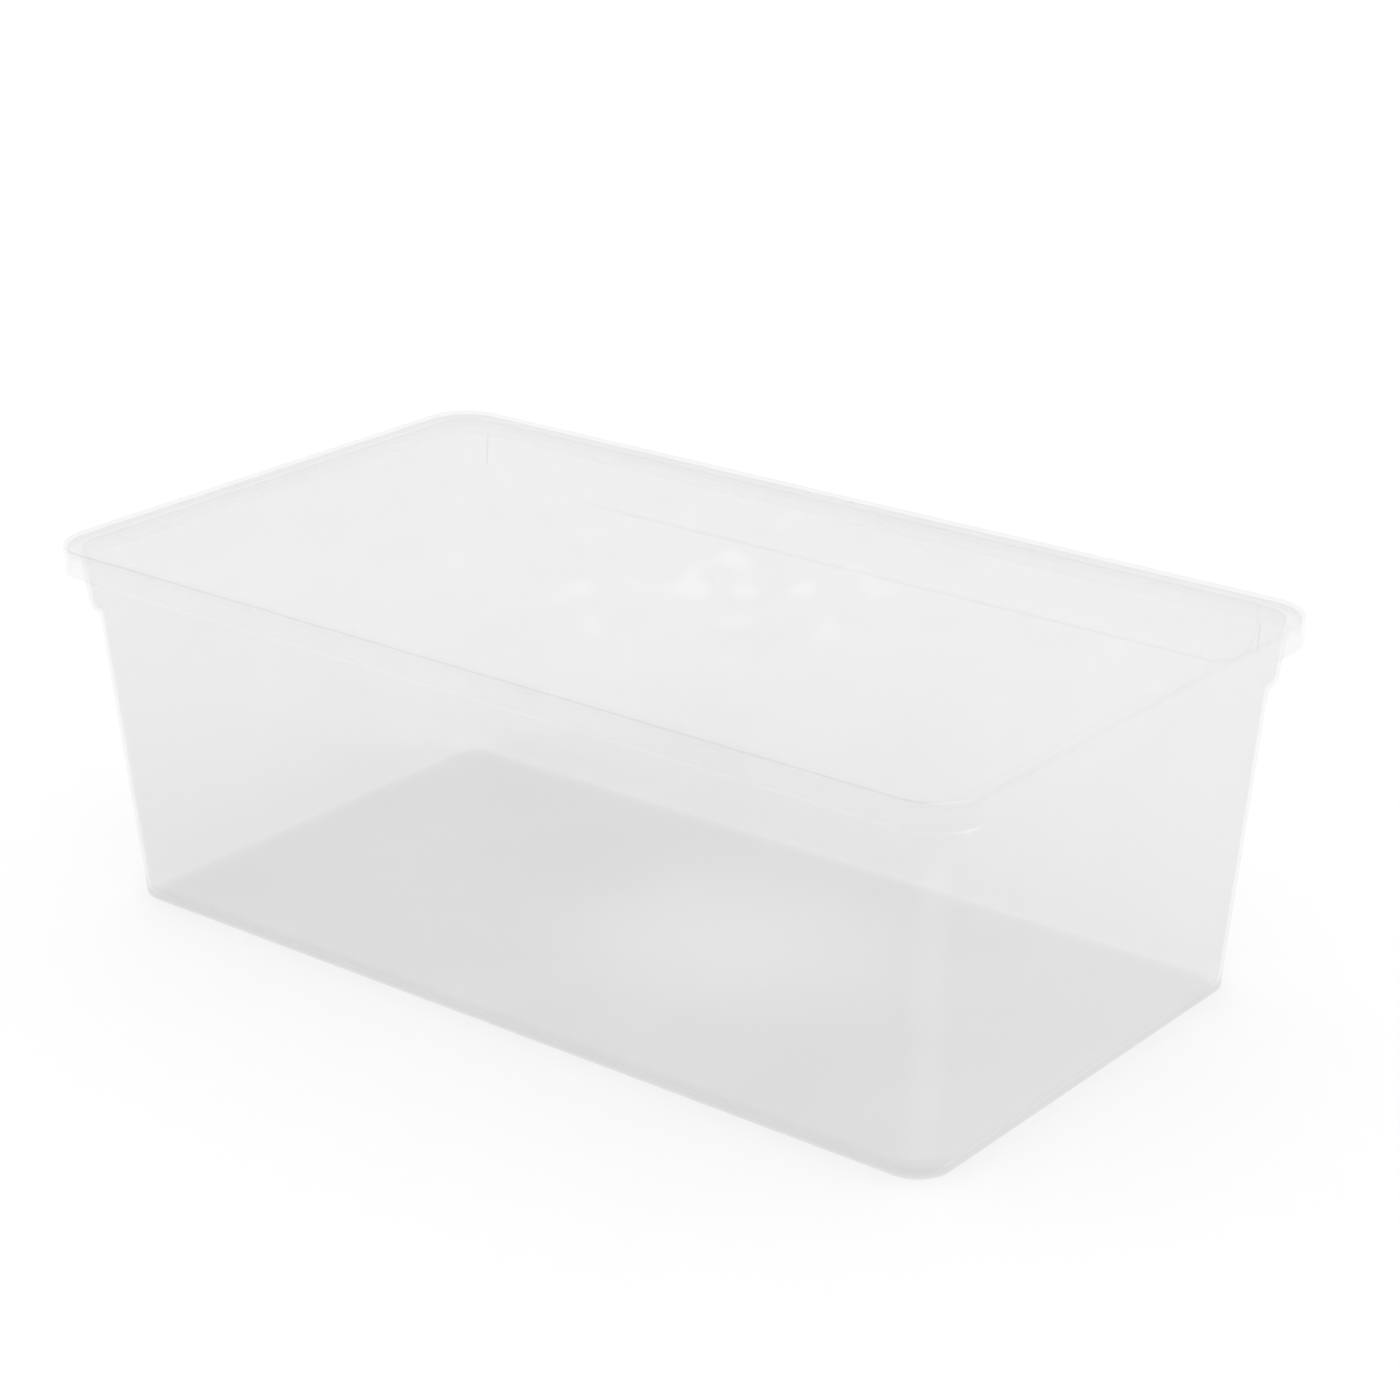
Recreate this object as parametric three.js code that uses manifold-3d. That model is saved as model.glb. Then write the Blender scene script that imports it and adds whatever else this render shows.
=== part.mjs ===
// A clear plastic storage box: a tapered tub with an out-turned rim, and a lift-off lid whose skirt
// drops over that rim. Millimetres, +Z up, long side along X, origin at the middle of the base.

import * as THREE from 'three';
import Module from 'manifold-3d';
import { mergeVertices } from 'three/addons/utils/BufferGeometryUtils.js';

// Lid: its plan is the largest outline of the box
const LID_LENGTH = 340;
const LID_WIDTH = 192;
const LID_CORNER_RADIUS = 16.5;
const LID_THICKNESS = 1.2;
const LID_EDGE_RADIUS = 1.1;
const SKIRT_DROP = 6.4;

// Fits between lid and tub
const SEAT_GAP = 0.3;
const SKIRT_CLEARANCE = 0.4;

// Tub: heights are measured from the ground, the collar down from the rim's top
const TUB_HEIGHT = 117.5;
const RIM_THICKNESS = 1.8;
const RIM_OVERHANG = 3.15;
const COLLAR_HEIGHT = 19.1;
const COLLAR_TAPER = 1.55;
const SHOULDER_STEP = 1.8;
const SHOULDER_RISE = 1.2;
const BASE_LENGTH = 310.5;
const BASE_WIDTH = 162.5;
const BASE_EDGE_RADIUS = 1.5;
const WALL_CORNER_RADIUS = 11.6;
const WALL_THICKNESS = 1.2;
const FLOOR_THICKNESS = 1.4;
const FLOOR_FILLET = 3;

// Raised field on the collar of each long side, with round lower corners
const COLLAR_FIELD_RELIEF = 0.8;
const COLLAR_FIELD_END_MARGIN = 3;
const COLLAR_FIELD_FOOT_MARGIN = 0.2;
const COLLAR_FIELD_CORNER_RADIUS = 13;
const CUT_OVERRUN = 2;

// Facets
const CORNER_STEPS = 10;
const EDGE_STEPS = 4;
const FILLET_STEPS = 5;
const MERGE_DISTANCE = 1e-4;

const wasm = await Module();
wasm.setup();

// An outline is a rounded rectangle seen from above
function outline(length, width, radius) {
  return { length, width, radius };
}

function inset(shape, amount) {
  return outline(shape.length - 2 * amount, shape.width - 2 * amount, shape.radius - amount);
}

function between(low, high, share) {
  return outline(
    THREE.MathUtils.lerp(low.length, high.length, share),
    THREE.MathUtils.lerp(low.width, high.width, share),
    THREE.MathUtils.lerp(low.radius, high.radius, share),
  );
}

// The points of an outline at one height, anticlockwise seen from above
function ring({ length, width, radius }, z) {
  const x = length / 2 - radius;
  const y = width / 2 - radius;
  const quarter = Math.PI / 2;
  const path = new THREE.Path();
  path.absarc(x, y, radius, 0, quarter);
  path.absarc(-x, y, radius, quarter, 2 * quarter);
  path.absarc(-x, -y, radius, 2 * quarter, 3 * quarter);
  path.absarc(x, -y, radius, 3 * quarter, 4 * quarter);
  return path.getPoints(CORNER_STEPS / 2).map((point) => new THREE.Vector3(point.x, point.y, z));
}

// A quarter round between two surfaces, as steps from 0 to 1 along each of them
function quarterRound(steps) {
  return Array.from({ length: steps + 1 }, (unused, step) => {
    const angle = (step / steps) * (Math.PI / 2);
    return { along: 1 - Math.cos(angle), up: 1 - Math.sin(angle) };
  });
}

// A closed skin through a chain of rings, with a flat cap on the first and on the last
function loft(sections) {
  const rings = sections.map(({ shape, z }) => ring(shape, z));
  const count = rings[0].length;
  const points = rings.flat();
  const index = [];
  for (let level = 0; level + 1 < rings.length; level += 1) {
    for (let step = 0; step < count; step += 1) {
      const next = (step + 1) % count;
      const a = level * count + step;
      const b = level * count + next;
      index.push(a, b, b + count, a, b + count, a + count);
    }
  }
  const firstCentre = points.length;
  const lastCentre = firstCentre + 1;
  points.push(new THREE.Vector3(0, 0, sections[0].z));
  points.push(new THREE.Vector3(0, 0, sections[sections.length - 1].z));
  const lastRing = (rings.length - 1) * count;
  for (let step = 0; step < count; step += 1) {
    const next = (step + 1) % count;
    index.push(firstCentre, next, step);
    index.push(lastCentre, lastRing + step, lastRing + next);
  }
  const geometry = new THREE.BufferGeometry().setFromPoints(points);
  geometry.setIndex(index);
  return geometry;
}

function toSolid(geometry) {
  const bare = geometry.clone();
  bare.deleteAttribute('normal');
  bare.deleteAttribute('uv');
  const merged = mergeVertices(bare, MERGE_DISTANCE);
  return new wasm.Manifold(new wasm.Mesh({
    numProp: 3,
    vertProperties: new Float32Array(merged.attributes.position.array),
    triVerts: new Uint32Array(merged.index.array),
  }));
}

function toGeometry(solid) {
  const { vertProperties, triVerts } = solid.getMesh();
  const geometry = new THREE.BufferGeometry();
  geometry.setAttribute('position', new THREE.BufferAttribute(vertProperties, 3));
  geometry.setIndex(new THREE.BufferAttribute(triVerts, 1));
  geometry.computeVertexNormals();
  return geometry;
}

// Outlines shared by tub and lid, from the lid's plan inwards
const lidOutline = outline(LID_LENGTH, LID_WIDTH, LID_CORNER_RADIUS);
const skirtInside = inset(lidOutline, LID_THICKNESS);
const rimOutline = inset(skirtInside, SKIRT_CLEARANCE);
const collarTop = { ...inset(rimOutline, RIM_OVERHANG), radius: WALL_CORNER_RADIUS };
const collarFoot = { ...inset(collarTop, COLLAR_TAPER), radius: WALL_CORNER_RADIUS };
const wallTop = { ...inset(collarFoot, SHOULDER_STEP), radius: WALL_CORNER_RADIUS };
const baseOutline = outline(BASE_LENGTH, BASE_WIDTH, WALL_CORNER_RADIUS);
const mouth = inset(collarTop, WALL_THICKNESS);

const shoulderTopZ = TUB_HEIGHT - COLLAR_HEIGHT;
const shoulderFootZ = shoulderTopZ - SHOULDER_RISE;
const rimUndersideZ = TUB_HEIGHT - RIM_THICKNESS;

// The outside of the tapered wall at a height below the shoulder
function wallAt(z) {
  return between(baseOutline, wallTop, z / shoulderFootZ);
}

// The tub's section, from the middle of the base round the outside, over the rim and down the inside
function tubSections() {
  const sections = [];

  for (const { along, up } of quarterRound(EDGE_STEPS)) {
    const z = BASE_EDGE_RADIUS * along;
    sections.push({ shape: inset(wallAt(z), BASE_EDGE_RADIUS * up), z });
  }

  sections.push({ shape: wallTop, z: shoulderFootZ });
  sections.push({ shape: collarFoot, z: shoulderTopZ });
  sections.push({ shape: collarTop, z: rimUndersideZ });

  const rimRadius = RIM_THICKNESS / 2;
  for (let step = 0; step <= 2 * EDGE_STEPS; step += 1) {
    const angle = (step / (2 * EDGE_STEPS) - 0.5) * Math.PI;
    sections.push({
      shape: inset(rimOutline, rimRadius * (1 - Math.cos(angle))),
      z: rimUndersideZ + rimRadius * (1 + Math.sin(angle)),
    });
  }

  // The inside of the shoulder sits a little higher, so that its wall keeps the full thickness
  const shoulderSlope = Math.atan2(SHOULDER_STEP, SHOULDER_RISE);
  const insideLift = WALL_THICKNESS * Math.tan(shoulderSlope / 2);
  sections.push({ shape: mouth, z: TUB_HEIGHT });
  sections.push({ shape: inset(collarFoot, WALL_THICKNESS), z: shoulderTopZ + insideLift });
  sections.push({ shape: inset(wallTop, WALL_THICKNESS), z: shoulderFootZ + insideLift });

  const filletTopZ = FLOOR_THICKNESS + FLOOR_FILLET;
  const filletOutline = inset(wallAt(filletTopZ), WALL_THICKNESS);
  for (const { along, up } of quarterRound(FILLET_STEPS)) {
    sections.push({ shape: inset(filletOutline, FLOOR_FILLET * along), z: FLOOR_THICKNESS + FLOOR_FILLET * up });
  }
  return sections;
}

// A slab with round lower corners that stands on the near long side's collar and leans with its taper.
// Its depth runs outwards from the collar's face, and its foot and head are heights above the shoulder.
function collarSlab({ halfLength, foot, head, cornerRadius, innerDepth, outerDepth }) {
  const radius = Math.min(cornerRadius, head - foot);
  const shape = new THREE.Shape();
  shape.moveTo(halfLength, head);
  shape.lineTo(-halfLength, head);
  shape.absarc(-halfLength + radius, foot + radius, radius, Math.PI, 1.5 * Math.PI);
  shape.absarc(halfLength - radius, foot + radius, radius, 1.5 * Math.PI, 2 * Math.PI);
  const slab = new THREE.ExtrudeGeometry(shape, {
    depth: outerDepth - innerDepth,
    bevelEnabled: false,
    curveSegments: CORNER_STEPS,
  });
  const lean = COLLAR_TAPER / (rimUndersideZ - shoulderTopZ);
  slab.rotateX(Math.PI / 2);
  slab.applyMatrix4(new THREE.Matrix4().makeShear(0, 0, 0, 0, 0, -lean));
  slab.translate(0, -collarFoot.width / 2 - innerDepth, shoulderTopZ);
  return slab;
}

// The raised field is one wall thickness everywhere: a slab outside, and a smaller one taken out inside,
// which runs out through the mouth as a mould's core needs
function addCollarFields(tub) {
  const halfLength = collarTop.length / 2 - WALL_CORNER_RADIUS - COLLAR_FIELD_END_MARGIN;
  const outside = collarSlab({
    halfLength,
    foot: COLLAR_FIELD_FOOT_MARGIN,
    head: COLLAR_HEIGHT - RIM_THICKNESS / 2,
    cornerRadius: COLLAR_FIELD_CORNER_RADIUS,
    innerDepth: -WALL_THICKNESS / 2,
    outerDepth: COLLAR_FIELD_RELIEF,
  });
  const inside = collarSlab({
    halfLength: halfLength - WALL_THICKNESS,
    foot: COLLAR_FIELD_FOOT_MARGIN + WALL_THICKNESS,
    head: COLLAR_HEIGHT + CUT_OVERRUN,
    cornerRadius: COLLAR_FIELD_CORNER_RADIUS - WALL_THICKNESS,
    innerDepth: -WALL_THICKNESS - CUT_OVERRUN,
    outerDepth: COLLAR_FIELD_RELIEF - WALL_THICKNESS,
  });
  const halfTurn = new THREE.Matrix4().makeRotationZ(Math.PI);
  let result = tub;
  for (const turn of [new THREE.Matrix4(), halfTurn]) {
    result = result.add(toSolid(outside.clone().applyMatrix4(turn)));
    result = result.subtract(toSolid(inside.clone().applyMatrix4(turn)));
  }
  return result;
}

// The lid's section in its own frame, where z = 0 is the underside that rests on the rim.
// It runs from the middle of the underside, round the skirt and back over the top.
function lidSections() {
  const sections = [
    { shape: skirtInside, z: 0 },
    { shape: skirtInside, z: -SKIRT_DROP },
    { shape: lidOutline, z: -SKIRT_DROP },
  ];
  for (const { along, up } of quarterRound(EDGE_STEPS)) {
    sections.push({ shape: inset(lidOutline, LID_EDGE_RADIUS * along), z: LID_THICKNESS - LID_EDGE_RADIUS * up });
  }
  return sections;
}

function clearPlastic(opacity) {
  return new THREE.MeshStandardMaterial({
    color: 0xf1f3f2,
    roughness: 0.12,
    metalness: 0,
    transparent: true,
    opacity,
  });
}

const tub = new THREE.Mesh(toGeometry(addCollarFields(toSolid(loft(tubSections())))), clearPlastic(0.25));
tub.name = 'tub';

const lid = new THREE.Mesh(toGeometry(toSolid(loft(lidSections()))), clearPlastic(0.35));
lid.name = 'lid';
lid.position.z = TUB_HEIGHT + SEAT_GAP;

const box = new THREE.Group();
box.add(tub, lid);

export default box;
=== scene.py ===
# %% [markdown]
# # A clear storage box with a lift-off lid
# The real box is two mouldings in clear, colourless polypropylene: a tapered tub, and a lid whose skirt
# drops over the tub's rim. It has no paint, print or fittings, so all that shows is what thin plastic does
# to light: walls that dim what is behind them, rounded edges that draw fine lines, and a lid that is never
# quite flat. The imported model is loaded first, because it fixes where everything stands. Its box is kept.

# %% Load the imported model
import math
from collections import namedtuple

import bpy
import numpy as np
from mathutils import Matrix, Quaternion, Vector


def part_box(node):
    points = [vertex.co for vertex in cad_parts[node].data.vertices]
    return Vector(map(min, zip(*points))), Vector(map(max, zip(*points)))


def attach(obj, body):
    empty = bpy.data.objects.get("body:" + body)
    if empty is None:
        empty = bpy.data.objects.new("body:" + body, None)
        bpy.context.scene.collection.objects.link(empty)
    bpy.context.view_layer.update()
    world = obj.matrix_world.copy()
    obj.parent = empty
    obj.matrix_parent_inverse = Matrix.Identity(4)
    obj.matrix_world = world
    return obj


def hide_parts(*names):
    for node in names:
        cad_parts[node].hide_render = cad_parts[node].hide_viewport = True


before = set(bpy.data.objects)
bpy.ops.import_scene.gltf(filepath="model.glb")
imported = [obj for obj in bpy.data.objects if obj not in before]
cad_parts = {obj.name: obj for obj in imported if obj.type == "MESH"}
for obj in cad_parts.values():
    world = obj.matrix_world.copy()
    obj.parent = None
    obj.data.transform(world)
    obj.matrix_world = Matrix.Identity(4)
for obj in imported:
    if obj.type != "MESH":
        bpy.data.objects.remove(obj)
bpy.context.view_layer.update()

# %% [markdown]
# ## The camera
# The photograph looks down on one long side and one short side, from a little over a metre away, with a
# lens that is long enough to keep the edges nearly parallel. The place and the lens come from fitting a
# camera to the outline of the box. A camera can be aimed with angles or with a constraint; here it gets its
# direction as a vector, which can be read straight off the fit, and a very small roll.

# %% Camera
CAMERA_PLACE = Vector((0.60817, -0.74588, 0.45427))
CAMERA_DIRECTION = Vector((-0.58099, 0.72819, -0.36357))
CAMERA_ROLL = -0.0022
LENS_MM = 87.48
FILM_MM = 36.0

camera_data = bpy.data.cameras.new("studio_camera")
camera_data.sensor_fit = "HORIZONTAL"
camera_data.sensor_width = FILM_MM
camera_data.lens = LENS_MM
camera_data.clip_start = 0.01
camera_data.clip_end = 60.0
camera = bpy.data.objects.new("studio_camera", camera_data)
bpy.context.scene.collection.objects.link(camera)
camera.location = CAMERA_PLACE
camera.rotation_mode = "QUATERNION"
camera.rotation_quaternion = (
    CAMERA_DIRECTION.to_track_quat("-Z", "Y") @ Quaternion((0, 0, 1), CAMERA_ROLL))
bpy.context.scene.camera = camera
print("camera at", [round(v, 3) for v in camera.location], "lens", LENS_MM, "mm")

# %% [markdown]
# ## A section, eased at its corners
# A moulded box is a section carried round a plan with round corners. The section is a list of corners: how
# far each stands in from the lid's outline, how high it is, the radius of the plan there, and the small
# radius that eases it. Each corner also holds two tints. One dims light that leaves the plastic there, the
# other light that enters it, which keeps the near walls of the box apart from the far ones. Beside the
# plastic's own dimming, these tints hold painted shade and painted light: darker rows paint dark lines and
# bands along edges, and clearer rows paint out the dimming where two sheets overlap. Sharp corners
# with a bevel modifier would be quicker to type, but clear plastic shows every facet, so the arcs are
# worked out here and each gets a row of faces close on either side. With those rows the shading turns only
# in the arc and the flat runs stay flat.

# %% Eased sections
MM = 0.001
EASE_STEPS = 6
HUG = 0.12

Corner = namedtuple(
    "Corner", "inset height plan leaving ease rows entering field", defaults=(0.0, 1, None, 1.0))


def eased_corner(before, corner, after, ease):
    """The arc that rounds one corner of a section, from tangent to tangent."""
    to_before = before - corner
    to_after = after - corner
    to_before = to_before / np.hypot(to_before[0], to_before[1])
    to_after = to_after / np.hypot(to_after[0], to_after[1])
    half_angle = math.acos(np.clip(to_before[:2] @ to_after[:2], -1.0, 1.0)) / 2
    reach = ease / math.tan(half_angle)
    start = corner + to_before * reach
    end = corner + to_after * reach
    inward = to_before[:2] + to_after[:2]
    middle = corner[:2] + inward / np.hypot(*inward) * ease / math.sin(half_angle)
    turn = math.pi - 2 * half_angle
    arc = []
    for share in np.linspace(0, 1, EASE_STEPS + 1):
        point = start + (end - start) * share
        from_start = math.sin((1 - share) * turn) / math.sin(turn)
        from_end = math.sin(share * turn) / math.sin(turn)
        point[:2] = middle + (start[:2] - middle) * from_start + (end[:2] - middle) * from_end
        arc.append(point)
    return arc


def straight_run(start, end, rows):
    """Rows between two eased corners, with one row close to each."""
    close = min(HUG / np.hypot(*(end - start)[:2]), 0.3)
    shares = np.concatenate([[close], np.linspace(0, 1, rows + 1)[1:-1], [1 - close]])
    return [start + (end - start) * share for share in np.sort(shares)]


def section_rows(corners):
    """All rows of a section, as inset, height, plan radius, two tints and field weight."""
    marks = [
        np.array([c.inset, c.height, c.plan, c.leaving, c.entering or c.leaving, c.field])
        for c in corners]
    rows = [marks[0]]
    for index in range(1, len(corners)):
        if corners[index].ease:
            arc = eased_corner(marks[index - 1], marks[index], marks[index + 1], corners[index].ease)
        else:
            arc = [marks[index]]
        rows += straight_run(rows[-1], arc[0], corners[index - 1].rows)
        rows += arc
    return rows


print("an eased right angle has", EASE_STEPS + 1, "points")

# %% [markdown]
# ## Round the plan
# Every row of the section goes round the same plan: four arcs, two long sides and two short ones. A column
# of the skin is kept as the corner of the plan that it belongs to and the way it faces, so that one formula
# places it for any inset and any radius, and rows of different sizes always join up. The columns stand
# closer near the ends of the long sides, where the collar's raised field has its round corners. The sizes
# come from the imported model. Only the lid's skirt is made a little longer than there, as long as the
# photograph shows it at both ends of the box.

# %% Columns and rings
HALF_LENGTH, HALF_WIDTH, LID_TOP = [1000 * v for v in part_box("lid")[1]]
SKIRT_LONGER = 1.1
SKIRT_FOOT = 1000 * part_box("lid")[0].z - SKIRT_LONGER
RIM_TOP = 1000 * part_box("tub")[1].z
RIM_INSET = HALF_LENGTH - 1000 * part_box("tub")[1].x
CORNER_STEPS = 20

end_stops = np.concatenate([[0.9985], np.linspace(0.996, 0.972, 13), np.linspace(0.967, 0.89, 16)])
middle_stops = np.linspace(0.86, -0.86, 41)
LONG_STOPS = np.concatenate([end_stops, middle_stops, -end_stops[::-1]])
SHORT_STOPS = np.concatenate([[0.997], np.linspace(0.96, -0.96, 21), [-0.997]])


def plan_columns():
    """Corner and facing of every column, anticlockwise from the far end of the right-hand side."""
    columns = []
    sides = (
        (1, 1, [(stop, 1, 0, 1) for stop in LONG_STOPS]),
        (-1, 1, [(-1, stop, -1, 0) for stop in SHORT_STOPS]),
        (-1, -1, [(stop, -1, 0, -1) for stop in LONG_STOPS[::-1]]),
        (1, -1, [(1, stop, 1, 0) for stop in SHORT_STOPS[::-1]]))
    for quarter, (corner_x, corner_y, side) in enumerate(sides):
        for step in range(CORNER_STEPS + 1):
            angle = (quarter + step / CORNER_STEPS) * math.pi / 2
            columns.append((corner_x, corner_y, math.cos(angle), math.sin(angle)))
        columns += side
    return np.array(columns)


COLUMNS = plan_columns()


def ring(inset, height, plan, leaving, entering):
    """One row of the skin round the plan: places in millimetres and the two tints."""
    x = COLUMNS[:, 0] * (HALF_LENGTH - inset - plan) + COLUMNS[:, 2] * plan
    y = COLUMNS[:, 1] * (HALF_WIDTH - inset - plan) + COLUMNS[:, 3] * plan
    rest = np.tile([height, leaving, entering], (len(COLUMNS), 1))
    return np.concatenate([x[:, None], y[:, None], rest], axis=1)


def fill_towards_middle(edge, scales):
    """Rows that shrink from an edge towards the middle of the box."""
    return [edge * np.array([scale, scale, 1.0, 1.0, 1.0]) for scale in scales]


print("columns round the plan:", len(COLUMNS))

# %% [markdown]
# ## From rows to a moulding
# A skin runs from the middle of the underside, out, up and over, and back to the middle of the upper side,
# so one list of rows makes a closed solid with no loose edges. Cycles needs that for clear plastic: light
# is dimmed where it enters and again where it leaves, so both faces of every wall have to be there. The
# two tints are stored on the points of the mesh, where a material can read them.

# %% Skin builder
def moulding(name, rows):
    """A closed, smooth skin through rows of equal count, with a fan at each end."""
    count = len(COLUMNS)
    first_middle = rows[0].mean(axis=0)
    last_middle = rows[-1].mean(axis=0)
    first_middle[:2] = 0.0
    last_middle[:2] = 0.0
    points = np.concatenate([*rows, [first_middle], [last_middle]])
    first, last = len(points) - 2, len(points) - 1
    faces = []
    for column in range(count):
        beside = (column + 1) % count
        faces.append((first, beside, column))
        for row in range(len(rows) - 1):
            low, high = row * count, (row + 1) * count
            faces.append((low + column, low + beside, high + beside, high + column))
        top = (len(rows) - 1) * count
        faces.append((last, top + column, top + beside))
    mesh = bpy.data.meshes.new(name)
    mesh.from_pydata((points[:, :3] * MM).tolist(), [], faces)
    for column, label in ((3, "leaving"), (4, "entering")):
        mesh.attributes.new(label, "FLOAT", "POINT").data.foreach_set("value", points[:, column])
    mesh.polygons.foreach_set("use_smooth", [True] * len(mesh.polygons))
    mesh.update()
    piece = bpy.data.objects.new(name, mesh)
    bpy.context.scene.collection.objects.link(piece)
    print(name, "has", len(rows), "rows and", len(mesh.polygons), "faces")
    return piece


# %% [markdown]
# ## The tub
# The tub tapers to its base so that it leaves the mould and nests with others. A shoulder runs all round
# below the mouth. Above it stands a steeper collar, and each long side of the collar has a shallow field
# pressed outwards, with round lower corners. The rim turns out over the collar. All walls are about
# 1.2 mm thick. The field is too small for a modifier to place well, so the collar's rows are fine enough
# to be pushed out where the field is, on the outer and the inner face alike.

# %% The collar's raised field
FIELD_RELIEF = 0.8
FIELD_HALF_LENGTH = 150.6
FIELD_FOOT = 98.7
FIELD_CORNER = 12.4
FIELD_EDGE = 2.6
# Painted shade: the next three values set a fine dark line painted round each field on the inner face.
FIELD_SHADE_LINE = 0.09
FIELD_LINE_DROP = 0.9
FIELD_LINE_FADE = 90.0


def smooth_step(value):
    """0 below 0, 1 above 1, and an even curve between."""
    value = np.clip(value, 0.0, 1.0)
    return value * value * (3 - 2 * value)


def collar_field(x, height):
    """1 inside the raised field of a long side, 0 outside it."""
    beyond_end = np.abs(x) - (FIELD_HALF_LENGTH - FIELD_CORNER)
    below_foot = FIELD_FOOT + FIELD_CORNER - height
    corner = np.hypot(np.maximum(beyond_end, 0), np.maximum(below_foot, 0))
    outside = corner + np.minimum(np.maximum(beyond_end, below_foot), 0) - FIELD_CORNER
    return smooth_step(0.5 - outside / FIELD_EDGE)


print("collar fields:", 2 * FIELD_HALF_LENGTH, "mm long, pressed out", FIELD_RELIEF, "mm")

# %% Tub section
SHEET = 1.2
FLOOR_SHEET = 1.4
FLOOR_FILLET = 3.0
WALL_PLAN = 11.6
INSIDE_PLAN = WALL_PLAN - SHEET
RIM_PLAN = 14.9
FLOOR_SCALES = np.linspace(0.98, 0.04, 16)
CLEAR_TINT = 0.96
UNDERSIDE_TINT = 0.912
FLOOR_TINT = 0.922
WALL_TINT = 0.912
RIM_TINT = 0.99

# Painted shade: the low entering tints at the foot, 0.67 to 0.84, paint a dark band along the base's edge,
# and those at the inner top of the rim, 0.81 to 0.90, paint a dark line just inside the rim.
TUB_SECTION = (
    Corner(19.2, 0.0, 7.2, UNDERSIDE_TINT),
    Corner(16.3, 0.0, 10.1, CLEAR_TINT),
    Corner(14.75, 0.0, WALL_PLAN, CLEAR_TINT, ease=1.5, entering=0.71),
    Corner(14.60, 2.2, WALL_PLAN, WALL_TINT, entering=0.67),
    Corner(14.54, 3.0, WALL_PLAN, WALL_TINT, entering=0.69),
    Corner(14.46, 4.2, WALL_PLAN, WALL_TINT, entering=0.80),
    Corner(14.41, 5.0, WALL_PLAN, WALL_TINT, entering=0.84),
    Corner(14.27, 7.0, WALL_PLAN, WALL_TINT, rows=18),
    Corner(8.1, 97.2, WALL_PLAN, WALL_TINT, ease=0.9),
    Corner(6.3, 98.4, WALL_PLAN, WALL_TINT, ease=2.1, rows=44),
    Corner(4.79, 115.3, WALL_PLAN, WALL_TINT),
    Corner(4.75, 115.7, WALL_PLAN, RIM_TINT, ease=0.25),
    Corner(RIM_INSET, 115.7, RIM_PLAN, RIM_TINT, ease=0.3, field=0.0),
    Corner(RIM_INSET, RIM_TOP, RIM_PLAN, RIM_TINT, ease=0.3, field=0.0),
    Corner(5.5, RIM_TOP, 10.9, RIM_TINT),
    Corner(5.95, RIM_TOP, INSIDE_PLAN, RIM_TINT, ease=0.2, entering=0.81),
    Corner(6.06, 116.2, INSIDE_PLAN, RIM_TINT, entering=0.86),
    Corner(6.14, 115.2, INSIDE_PLAN, WALL_TINT, entering=0.90, rows=44),
    Corner(7.5, 99.04, INSIDE_PLAN, WALL_TINT, ease=0.9),
    Corner(9.3, 97.84, INSIDE_PLAN, WALL_TINT, ease=2.1, rows=18),
    Corner(15.5, 6.5, INSIDE_PLAN, WALL_TINT, rows=2),
    Corner(15.85, FLOOR_SHEET, INSIDE_PLAN, CLEAR_TINT, ease=FLOOR_FILLET),
    Corner(20.5, FLOOR_SHEET, 5.8, FLOOR_TINT),
    Corner(24.0, FLOOR_SHEET, 5.0, FLOOR_TINT))

section = section_rows(TUB_SECTION)
rim_row = max(range(len(section)), key=lambda index: section[index][1])
print("tub section:", len(section), "rows, with the rim at row", rim_row)

# %% [markdown]
# ## Light and dark on the tub
# The walls aren't evenly grey, and much of that is painted light and shade. Painted light makes the round
# corners lighter than the flat sides, and clears the collar where the lid's skirt covers it, so that skirt
# and collar together are no darker than one wall. A fine dark line of painted shade runs round each field on
# the inner face, a short upright one stands beside its ends, and the whole tub is a touch lighter at one end.
# Textures could hold all this, but they would have to be laid over a shape with two faces. The rows already
# follow every wall, so their tints are changed one row at a time.
# What the skirt covers depends on where one stands. The heights here are worked out for the photograph's
# line of sight. So from other heights a thin light line shows under the skirt, and with the lid lifted the
# near collar looks lighter than the wall below it.

# %% Where the tints change
FOOT_TOP = 7.0
# Painted light: the round corners get a lighter tint, standing for the light that their curve bends.
CORNER_PAINTED_LIGHT = 0.06
CORNER_PAINTED_LIGHT_ENDS = (95.0, 107.0)
# Painted light: where the lid's skirt covers the collar, the collar's tint is cleared so that the two sheets
# together are no darker than one. The heights come from one line of sight.
COLLAR_BEHIND = 5.4
COLLAR_SHEET = 1.35
PAINTED_LIGHT_CHANGE = 0.5
SIGHT_ALONG, SIGHT_ACROSS, SIGHT_DOWN = 0.443, 0.656, 0.343

in_corner = 4 * (COLUMNS[:, 2] * COLUMNS[:, 3]) ** 2
on_long_side = np.round(COLUMNS[:, 3]) * (np.abs(COLUMNS[:, 2]) < 1e-6)
slope = SIGHT_DOWN / (SIGHT_ALONG * np.abs(COLUMNS[:, 2]) + SIGHT_ACROSS * np.abs(COLUMNS[:, 3]))
covered_outside = SKIRT_FOOT - slope * (COLLAR_BEHIND - FIELD_RELIEF * np.abs(on_long_side))
covered_inside = covered_outside - slope * COLLAR_SHEET


def paint_light_outside(row, height):
    """Painted light: lighter corners, and a clear outer face where the skirt covers the collar."""
    lower, upper = CORNER_PAINTED_LIGHT_ENDS
    row[:, 4] += CORNER_PAINTED_LIGHT * in_corner * smooth_step((upper - height) / (upper - lower))
    covered = smooth_step((height - covered_outside) / PAINTED_LIGHT_CHANGE + 0.5)
    row[:, 4] += covered * (RIM_TINT - row[:, 4])


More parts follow.
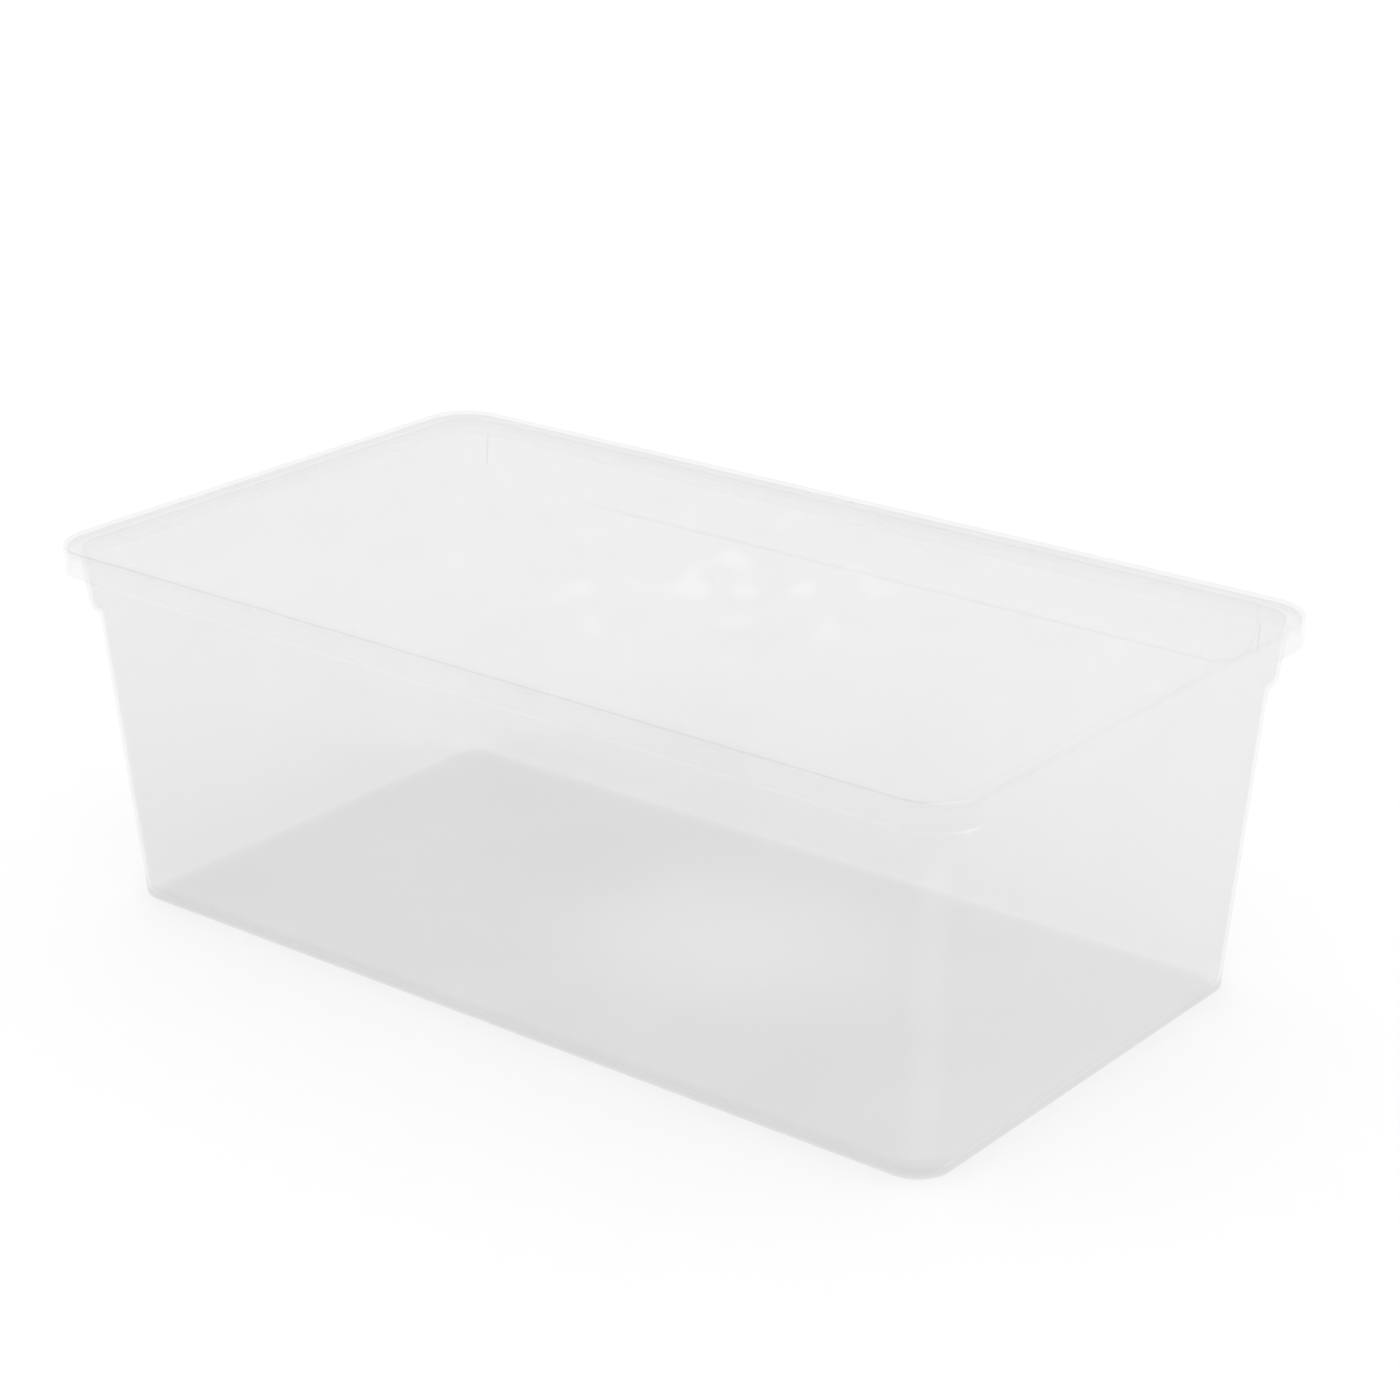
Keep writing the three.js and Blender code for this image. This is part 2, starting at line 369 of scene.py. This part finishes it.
def paint_light_inside(row, height):
    """Painted light: a clear inner face where the skirt covers the collar."""
    covered = smooth_step((height - covered_inside) / PAINTED_LIGHT_CHANGE + 0.5)
    row[:, 3] += covered * (RIM_TINT - row[:, 3])


print("the skirt covers the collar above", round(covered_outside.min(), 1), "mm at the ends")

# %% Painted shade lines inside
FIELD_LINE_SPREAD = 0.2
# Painted shade: a short upright dark line painted beside each end of the field.
UPRIGHT_SHADE_LINE = 0.16
CORNER_LINE_X = 151.9
CORNER_LINE_WIDTH = 0.4
CORNER_LINE_LOW = 102.0
CORNER_LINE_HIGH = 112.5


def paint_shade_lines(row, height):
    """Painted shade: fine dark lines on the inner face, round the field and upright beside its ends."""
    field = collar_field(row[:, 0], height + FIELD_LINE_DROP)
    line = np.exp(-((field - 0.5) / FIELD_LINE_SPREAD) ** 2)
    fade = smooth_step((row[:, 0] * on_long_side + FIELD_HALF_LENGTH) / FIELD_LINE_FADE)
    row[:, 4] -= np.abs(on_long_side) * FIELD_SHADE_LINE * line * fade
    if CORNER_LINE_LOW < height < CORNER_LINE_HIGH:
        upright = np.exp(-((np.abs(row[:, 0]) - CORNER_LINE_X) / CORNER_LINE_WIDTH) ** 2)
        row[:, 4] -= np.abs(on_long_side) * UPRIGHT_SHADE_LINE * upright


print("upright lines at", CORNER_LINE_X, "mm from the middle")

# %% Tub skin
END_SHADE = 0.006

tub_rows = []
for index, (*place, weight) in enumerate(section):
    row = ring(*place)
    height = place[1]
    if index < rim_row and height > FOOT_TOP:
        paint_light_outside(row, height)
    if index > rim_row:
        paint_light_inside(row, height)
    row[:, 1] += on_long_side * FIELD_RELIEF * weight * collar_field(row[:, 0], height)
    row[:, 3:] *= 1 + END_SHADE * row[:, :1] / HALF_LENGTH
    if index > rim_row:
        paint_shade_lines(row, height)
    row[:, 3:] = np.minimum(row[:, 3:], 1.0)
    tub_rows.append(row)
tub_rows = (
    fill_towards_middle(tub_rows[0], FLOOR_SCALES[::-1])
    + tub_rows
    + fill_towards_middle(tub_rows[-1], FLOOR_SCALES))
tub = moulding("clear_tub_skin", tub_rows)

# %% [markdown]
# ## The lid
# The lid is a flat sheet with a rounded edge that turns down into a skirt, and the skirt covers the rim.
# The photograph shows light patches wandering over the sheet: the plastic shrinks unevenly as it cools, so
# the lid is flat only to a tenth of a millimetre or so, and its reflections wander. A bump texture could
# fake that, but real waves in the mesh are part of the shape. They are a few crossed ripples of
# different lengths that fade out towards the edge. A fine dark line of painted shade runs along the
# rounded edge of the long sides and shows on the near one. It grows a little deeper along its run, and at
# the corners it turns into a painted highlight.

# %% Lid section
LID_SHEET = 1.2
LID_UNDER = LID_TOP - LID_SHEET
FIELD_INSET = 8.0
FIELD_PLAN = 8.5
FIELD_TINT = 0.92
EDGE_TINT = 0.99
SKIRT_TINT = 0.93

# Painted shade: the darker leaving tints at the top of the edge, 0.90 and 0.86, and the entering tints inside
# the skirt, 0.85 to 0.96, paint a dark band along the rim. Painted light: EDGE_TINT clears the skirt's foot,
# so that the skirt doesn't show as a darker band.
LID_SECTION = (
    Corner(FIELD_INSET, LID_UNDER, FIELD_PLAN, FIELD_TINT, rows=4),
    Corner(1.6, LID_UNDER, 14.9, FIELD_TINT),
    Corner(LID_SHEET, LID_UNDER, 15.3, FIELD_TINT, ease=0.2, entering=0.85),
    Corner(LID_SHEET, 116.3, 15.3, FIELD_TINT, entering=0.87),
    Corner(LID_SHEET, 115.4, 15.3, FIELD_TINT, entering=0.96),
    Corner(LID_SHEET, SKIRT_FOOT, 15.3, FIELD_TINT, ease=0.3, entering=EDGE_TINT),
    Corner(0.0, SKIRT_FOOT, 16.5, EDGE_TINT, ease=0.3, entering=FIELD_TINT),
    Corner(0.0, 112.6, 16.5, EDGE_TINT, entering=FIELD_TINT),
    Corner(0.0, 114.5, 16.5, SKIRT_TINT, entering=FIELD_TINT),
    Corner(0.0, 116.6, 16.5, 0.90, entering=FIELD_TINT),
    Corner(0.0, LID_TOP, 16.5, 0.86, ease=1.1, rows=4, entering=FIELD_TINT),
    Corner(FIELD_INSET, LID_TOP, FIELD_PLAN, FIELD_TINT))

lid_section = section_rows(LID_SECTION)
print("lid section:", len(lid_section), "rows, with the skirt's foot at", round(SKIRT_FOOT, 2), "mm")

# %% Lid ripple
RIPPLE_SLOPE = 0.0022
RIPPLE_LENGTHS = (27.0, 33.0, 40.0, 48.0, 58.0, 70.0, 85.0)
RIPPLE_SHIFT = 1.7
GOLDEN_ANGLE = 2.399963
RIPPLE_FADE = 22.0
LID_SCALES = np.linspace(0.99, 0.02, 44)


def ripple(x, y):
    """Height of the uneven field over a true plane, in millimetres."""
    height = np.zeros_like(x)
    for index, length in enumerate(RIPPLE_LENGTHS):
        angle = index * GOLDEN_ANGLE
        phase = 2 * math.pi * (x * math.cos(angle) + y * math.sin(angle)) / length + RIPPLE_SHIFT * index
        height += np.sin(phase) * RIPPLE_SLOPE * length / (2 * math.pi)
    to_edge = np.minimum(HALF_LENGTH - np.abs(x), HALF_WIDTH - np.abs(y)) - FIELD_INSET
    return height * smooth_step(to_edge / RIPPLE_FADE)


def rippled(rows):
    """Rows of the lid's field with the ripple added."""
    for row in rows:
        row[:, 2] += ripple(row[:, 0], row[:, 1])
    return rows


print("crossed ripples on the lid:", len(RIPPLE_LENGTHS))

# %% Lid skin
# Painted shade: a fine dark line painted on the rounded edge of the long sides, a little deeper along its
# run. Painted highlight: a light line painted on the same edge at the corners.
LINE_INSETS = (0.1, 0.4)
EDGE_SHADE_TINT = 0.795
EDGE_SHADE_DEEPER = 0.05
DEEPER_FROM = 0.3
DEEPER_OVER = 0.6
PAINTED_GLINT_TINT = 1.0
LONG_EDGE_FACING = 0.75
LONG_EDGE_CHANGE = 0.2

on_long_edge = smooth_step((np.abs(COLUMNS[:, 3]) - LONG_EDGE_FACING) / LONG_EDGE_CHANGE)
lid_rows = []
for *place, _ in lid_section:
    row = ring(*place)
    if LINE_INSETS[0] < place[0] < LINE_INSETS[1] and place[1] > LID_UNDER:
        run_share = row[:, 0] * np.sign(COLUMNS[:, 3]) / HALF_LENGTH
        edge_shade_tint = EDGE_SHADE_TINT - EDGE_SHADE_DEEPER * smooth_step((run_share - DEEPER_FROM) / DEEPER_OVER)
        row[:, 4] += in_corner * (PAINTED_GLINT_TINT - row[:, 4])
        row[:, 4] += on_long_edge * (edge_shade_tint - row[:, 4])
    lid_rows.append(row)
lid_under = rippled(fill_towards_middle(lid_rows[0], LID_SCALES[::-1]))
lid_upper = rippled(fill_towards_middle(lid_rows[-1], LID_SCALES))
lid = moulding("clear_lid_skin", lid_under + lid_rows + lid_upper)

# %% [markdown]
# ## What the plastic shows, and painted light
# Clear polypropylene isn't as clean as glass. It freezes in soft streaks where it flowed through the mould,
# which show as a faint change of haze and a hardly visible unevenness of the surface. Round the middle,
# painted light makes the skin lighter: painted highlights in scattered dabs on the lid, and one soft
# painted patch of light on the floor of the tub. Both mouldings have both effects, so each effect is a node
# group, and each material sets its size and its strength. The streaks' height is far smaller than the ripple
# of the lid, so it is a bump and not a shape.

# %% Helpers for nodes
def new_group(name, inputs, outputs):
    """An empty shader group with float inputs, given with their defaults, and float outputs."""
    group = bpy.data.node_groups.new(name, "ShaderNodeTree")
    for label, value in inputs:
        socket = group.interface.new_socket(label, in_out="INPUT", socket_type="NodeSocketFloat")
        socket.default_value = value
    for label in outputs:
        group.interface.new_socket(label, in_out="OUTPUT", socket_type="NodeSocketFloat")
    return group, group.nodes.new("NodeGroupInput"), group.nodes.new("NodeGroupOutput")


def add(tree, kind, **settings):
    """A node with its plain settings and its input values, by socket name or number."""
    node = tree.nodes.new(kind)
    values = settings.pop("values", {})
    for label, value in settings.items():
        setattr(node, label, value)
    for socket, value in values.items():
        node.inputs[socket].default_value = value
    return node


print("helpers ready")

# %% Flow streaks
def flow_streaks():
    """Soft streaks along the flow of the plastic: a haze mask and a height."""
    group, given, result = new_group("Flow streaks", [("Scale", 14.0), ("Stretch", 0.35)], ["Haze", "Height"])
    link = group.links.new
    place = add(group, "ShaderNodeTexCoord")
    spread = add(group, "ShaderNodeCombineXYZ", values={0: 1.0, 1: 1.0})
    stretched = add(group, "ShaderNodeVectorMath", operation="MULTIPLY")
    broad = add(group, "ShaderNodeTexNoise", values={"Detail": 1.5, "Roughness": 0.5})
    haze = add(group, "ShaderNodeMapRange", interpolation_type="SMOOTHSTEP", values={1: 0.35, 2: 0.75})
    link(given.outputs["Stretch"], spread.inputs[2])
    link(place.outputs["Object"], stretched.inputs[0])
    link(spread.outputs[0], stretched.inputs[1])
    link(stretched.outputs[0], broad.inputs["Vector"])
    link(given.outputs["Scale"], broad.inputs["Scale"])
    link(broad.outputs[0], haze.inputs[0])
    link(haze.outputs[0], result.inputs["Haze"])
    link(broad.outputs[0], result.inputs["Height"])
    return group


FLOW = flow_streaks()
print("node group:", FLOW.name)

# %% Painted light dabs
# Painted light: dabs of painted highlight on the lid, and one soft painted patch of light on the tub's floor.
DAB_SEED = 5.0
DAB_TURN = -0.67343
DAB_STRETCH = 0.6
PAINTED_LIGHT_CENTRE = (0.016, 0.007, 0.0)


def paint_light_dabs():
    """Painted light: lighter dabs round the middle, as a mask."""
    inputs = [("Radius", 0.05), ("Scale", 60.0), ("Patchiness", 1.0), ("Strength", 1.0)]
    group, given, result = new_group("Painted light dabs", inputs, ["Mask"])
    link = group.links.new
    place = add(group, "ShaderNodeTexCoord")
    level = add(group, "ShaderNodeVectorMath", operation="MULTIPLY")
    level.inputs[1].default_value = (1.0, 1.0, 0.0)
    centred = add(group, "ShaderNodeVectorMath", operation="SUBTRACT")
    centred.inputs[1].default_value = PAINTED_LIGHT_CENTRE
    away = add(group, "ShaderNodeVectorMath", operation="LENGTH")
    share = add(group, "ShaderNodeMath", operation="DIVIDE")
    near = add(group, "ShaderNodeMapRange", interpolation_type="SMOOTHERSTEP", values={1: 1.0, 2: 0.0})
    dabs = add(group, "ShaderNodeTexNoise", noise_dimensions="4D",
               values={"W": DAB_SEED, "Detail": 0.0, "Roughness": 0.4})
    patches = add(group, "ShaderNodeMapRange", interpolation_type="SMOOTHSTEP", values={1: 0.55, 2: 0.75})
    mixed = add(group, "ShaderNodeMix", data_type="FLOAT", values={2: 1.0})
    masked = add(group, "ShaderNodeMath", operation="MULTIPLY")
    scaled = add(group, "ShaderNodeMath", operation="MULTIPLY")
    link(place.outputs["Object"], level.inputs[0])
    link(level.outputs[0], centred.inputs[0])
    link(centred.outputs[0], away.inputs[0])
    link(away.outputs["Value"], share.inputs[0])
    link(given.outputs["Radius"], share.inputs[1])
    link(share.outputs[0], near.inputs[0])
    turned = add(group, "ShaderNodeVectorRotate", rotation_type="Z_AXIS", values={"Angle": DAB_TURN})
    drawn = add(group, "ShaderNodeVectorMath", operation="MULTIPLY")
    drawn.inputs[1].default_value = (1.0, DAB_STRETCH, 1.0)
    link(place.outputs["Object"], turned.inputs["Vector"])
    link(turned.outputs[0], drawn.inputs[0])
    link(drawn.outputs[0], dabs.inputs["Vector"])
    link(given.outputs["Scale"], dabs.inputs["Scale"])
    link(dabs.outputs[0], patches.inputs[0])
    link(given.outputs["Patchiness"], mixed.inputs[0])
    link(patches.outputs[0], mixed.inputs[3])
    link(near.outputs[0], masked.inputs[0])
    link(mixed.outputs[0], masked.inputs[1])
    link(masked.outputs[0], scaled.inputs[0])
    link(given.outputs["Strength"], scaled.inputs[1])
    link(scaled.outputs[0], result.inputs["Mask"])
    return group


PAINTED_LIGHT_GROUP = paint_light_dabs()
print("node group:", PAINTED_LIGHT_GROUP.name)

# %% [markdown]
# ## Clear plastic, twice
# One function makes both finishes. Glass with the refraction of plastic would be the first thing to try,
# but in walls this thin it draws strong lines along every rounded edge, and the photograph shows none. So
# light passes straight through, with a refraction of almost 1, and the gloss comes from a clear coat with
# the refraction of polypropylene. The tint of a point is the one for entering light on the face towards
# the eye and the one for leaving light on a face seen from behind, from within the plastic. The streaks
# dim it a little, and the painted light of the dabs lightens it.

# %% Materials
BEND_IOR = 1.0005
GLOSS_IOR = 1.49
GLOSS = 0.5
ROUGHNESS = 0.03
HAZE_TINT = 0.99
HAZE_ROUGHNESS = 0.06


def clear_plastic(name, streak_values, light_dab_values, wave_depth):
    """A clear moulding with the tint of its skin, disturbed by streaks and lightened by painted light dabs.
    """
    material = bpy.data.materials.new(name)
    material.use_nodes = True
    tree = material.node_tree
    link = tree.links.new
    shader = tree.nodes["Principled BSDF"]
    shader.inputs["IOR"].default_value = BEND_IOR
    shader.inputs["Metallic"].default_value = 0.0
    shader.inputs["Transmission Weight"].default_value = 1.0
    shader.inputs["Coat Weight"].default_value = GLOSS
    shader.inputs["Coat IOR"].default_value = GLOSS_IOR
    shader.inputs["Coat Roughness"].default_value = ROUGHNESS
    streaks = add(tree, "ShaderNodeGroup", node_tree=FLOW, values=streak_values)
    light_dabs = add(tree, "ShaderNodeGroup", node_tree=PAINTED_LIGHT_GROUP, values=light_dab_values)
    entering = add(tree, "ShaderNodeAttribute", attribute_name="entering")
    leaving = add(tree, "ShaderNodeAttribute", attribute_name="leaving")
    side = add(tree, "ShaderNodeNewGeometry")
    skin_tint = add(tree, "ShaderNodeMix", data_type="FLOAT")
    fade = add(tree, "ShaderNodeMapRange", values={3: 1.0, 4: HAZE_TINT})
    tinted = add(tree, "ShaderNodeMath", operation="MULTIPLY")
    lightened = add(tree, "ShaderNodeMix", data_type="FLOAT", values={3: 1.0})
    link(streaks.outputs["Haze"], fade.inputs[0])
    link(side.outputs["Backfacing"], skin_tint.inputs[0])
    link(entering.outputs["Fac"], skin_tint.inputs[2])
    link(leaving.outputs["Fac"], skin_tint.inputs[3])
    link(skin_tint.outputs[0], tinted.inputs[0])
    link(fade.outputs[0], tinted.inputs[1])
    # Painted light: the dabs' mask lightens the tint towards clear.
    link(light_dabs.outputs["Mask"], lightened.inputs[0])
    link(tinted.outputs[0], lightened.inputs[2])
    link(lightened.outputs[0], shader.inputs["Base Color"])
    dull = add(tree, "ShaderNodeMapRange", values={3: ROUGHNESS, 4: ROUGHNESS + HAZE_ROUGHNESS})
    link(streaks.outputs["Haze"], dull.inputs[0])
    link(dull.outputs[0], shader.inputs["Roughness"])
    bump = add(tree, "ShaderNodeBump", values={"Strength": 1.0, "Distance": wave_depth * MM})
    link(streaks.outputs["Height"], bump.inputs["Height"])
    link(bump.outputs["Normal"], shader.inputs["Normal"])
    return material


# The third values set the painted light: one soft patch on the tub's floor, painted highlights in dabs on the
# lid.
TUB_PLASTIC = clear_plastic(
    "clear_tub", {"Scale": 14.0, "Stretch": 0.3},
    {"Radius": 0.085, "Patchiness": 0.0, "Strength": 0.42}, wave_depth=0.02)
LID_PLASTIC = clear_plastic(
    "clear_lid", {"Scale": 38.0, "Stretch": 1.0},
    {"Radius": 0.105, "Scale": 75.0, "Patchiness": 1.0, "Strength": 0.5}, wave_depth=0.06)
print("materials:", TUB_PLASTIC.name, "and", LID_PLASTIC.name)

# %% [markdown]
# ## Each skin in its place
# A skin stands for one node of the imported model, moves with that node's body and takes the finish of that
# node's slot. Nothing has to be moved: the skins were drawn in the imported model's own frame.

# %% Hand the skins to the frame
for skin, node, slot, plastic in (
        (tub, "tub", "clear_tub", TUB_PLASTIC),
        (lid, "lid", "clear_lid", LID_PLASTIC)):
    skin.data.materials.append(plastic)
    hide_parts(node)
    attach(skin, node)
    print(skin.name, "stands for", node)

# %% [markdown]
# ## The pale studio
# The box was photographed on a white sweep, so bright that the background is almost pure white. The floor
# is a large disc just under the base, of white paper with a very fine grain. Lamps would throw shadows and
# highlights that the photograph doesn't have, so the light is one soft dome, a little brighter overhead.

# %% Floor
FLOOR_RADIUS = 14.0
FLOOR_DROP = 0.0002
FLOOR_SEGMENTS = 96

floor_mesh = bpy.data.meshes.new("pale_floor")
floor_points = [
    (FLOOR_RADIUS * math.cos(2 * math.pi * k / FLOOR_SEGMENTS),
     FLOOR_RADIUS * math.sin(2 * math.pi * k / FLOOR_SEGMENTS), -FLOOR_DROP)
    for k in range(FLOOR_SEGMENTS)]
floor_mesh.from_pydata(floor_points, [], [tuple(range(FLOOR_SEGMENTS))])
floor = bpy.data.objects.new("pale_floor", floor_mesh)
bpy.context.scene.collection.objects.link(floor)
paper = bpy.data.materials.new("white_sweep")
paper.use_nodes = True
paper_shader = paper.node_tree.nodes["Principled BSDF"]
paper_shader.inputs["Roughness"].default_value = 0.9
paper_shader.inputs["Specular IOR Level"].default_value = 0.1
paper_grain = add(paper.node_tree, "ShaderNodeTexNoise", values={"Scale": 900.0, "Detail": 2.0})
paper_tone = add(paper.node_tree, "ShaderNodeMapRange", values={3: 0.965, 4: 0.975})
paper.node_tree.links.new(paper_grain.outputs[0], paper_tone.inputs[0])
paper.node_tree.links.new(paper_tone.outputs[0], paper_shader.inputs["Base Color"])
floor_mesh.materials.append(paper)
print("floor radius", FLOOR_RADIUS, "m")

# %% Light
LOW_LIGHT = 1.00
TOP_LIGHT = 1.14
TOP_EDGE = 0.60
TOP_CORE = 0.92

world = bpy.data.worlds.new("soft_studio")
world.use_nodes = True
bpy.context.scene.world = world
sky = world.node_tree
backdrop = sky.nodes["Background"]
backdrop.inputs["Color"].default_value = (1.0, 1.0, 1.0, 1.0)
direction = add(sky, "ShaderNodeTexCoord")


def along(axis):
    """How far a direction of the dome points along an axis, from -1 to 1."""
    dot = add(sky, "ShaderNodeVectorMath", operation="DOT_PRODUCT")
    dot.inputs[1].default_value = axis
    sky.links.new(direction.outputs["Generated"], dot.inputs[0])
    return dot.outputs["Value"]


def soft_band(value, edge, core, outside, inside):
    """One level outside an edge, another beyond a core, and a soft change between them."""
    band = add(sky, "ShaderNodeMapRange", interpolation_type="SMOOTHSTEP",
               values={1: edge, 2: core, 3: outside, 4: inside})
    sky.links.new(value, band.inputs[0])
    return band.outputs[0]


dome = soft_band(along(Vector((0.0, 0.0, 1.0))), TOP_EDGE, TOP_CORE, LOW_LIGHT, TOP_LIGHT)
sky.links.new(dome, backdrop.inputs["Strength"])
print("dome", LOW_LIGHT, "to", TOP_LIGHT)

# %% [markdown]
# ## How the picture is developed
# The photograph is bright and plain, so its tones are kept as they are, with no film curve. A line of sight
# through the box crosses many faces of plastic, so light may turn more often than Blender allows by default.

# %% View and light paths
LIGHT_TURNS = 64

scene = bpy.context.scene
scene.view_settings.view_transform = "Standard"
scene.view_settings.look = "None"
scene.cycles.max_bounces = LIGHT_TURNS
scene.cycles.transmission_bounces = LIGHT_TURNS
scene.cycles.glossy_bounces = LIGHT_TURNS
scene.cycles.diffuse_bounces = 4
scene.cycles.blur_glossy = 0.0
print("light may turn", LIGHT_TURNS, "times")

# %% [markdown]
# ## Finish

# %% Finish
bpy.context.view_layer.update()
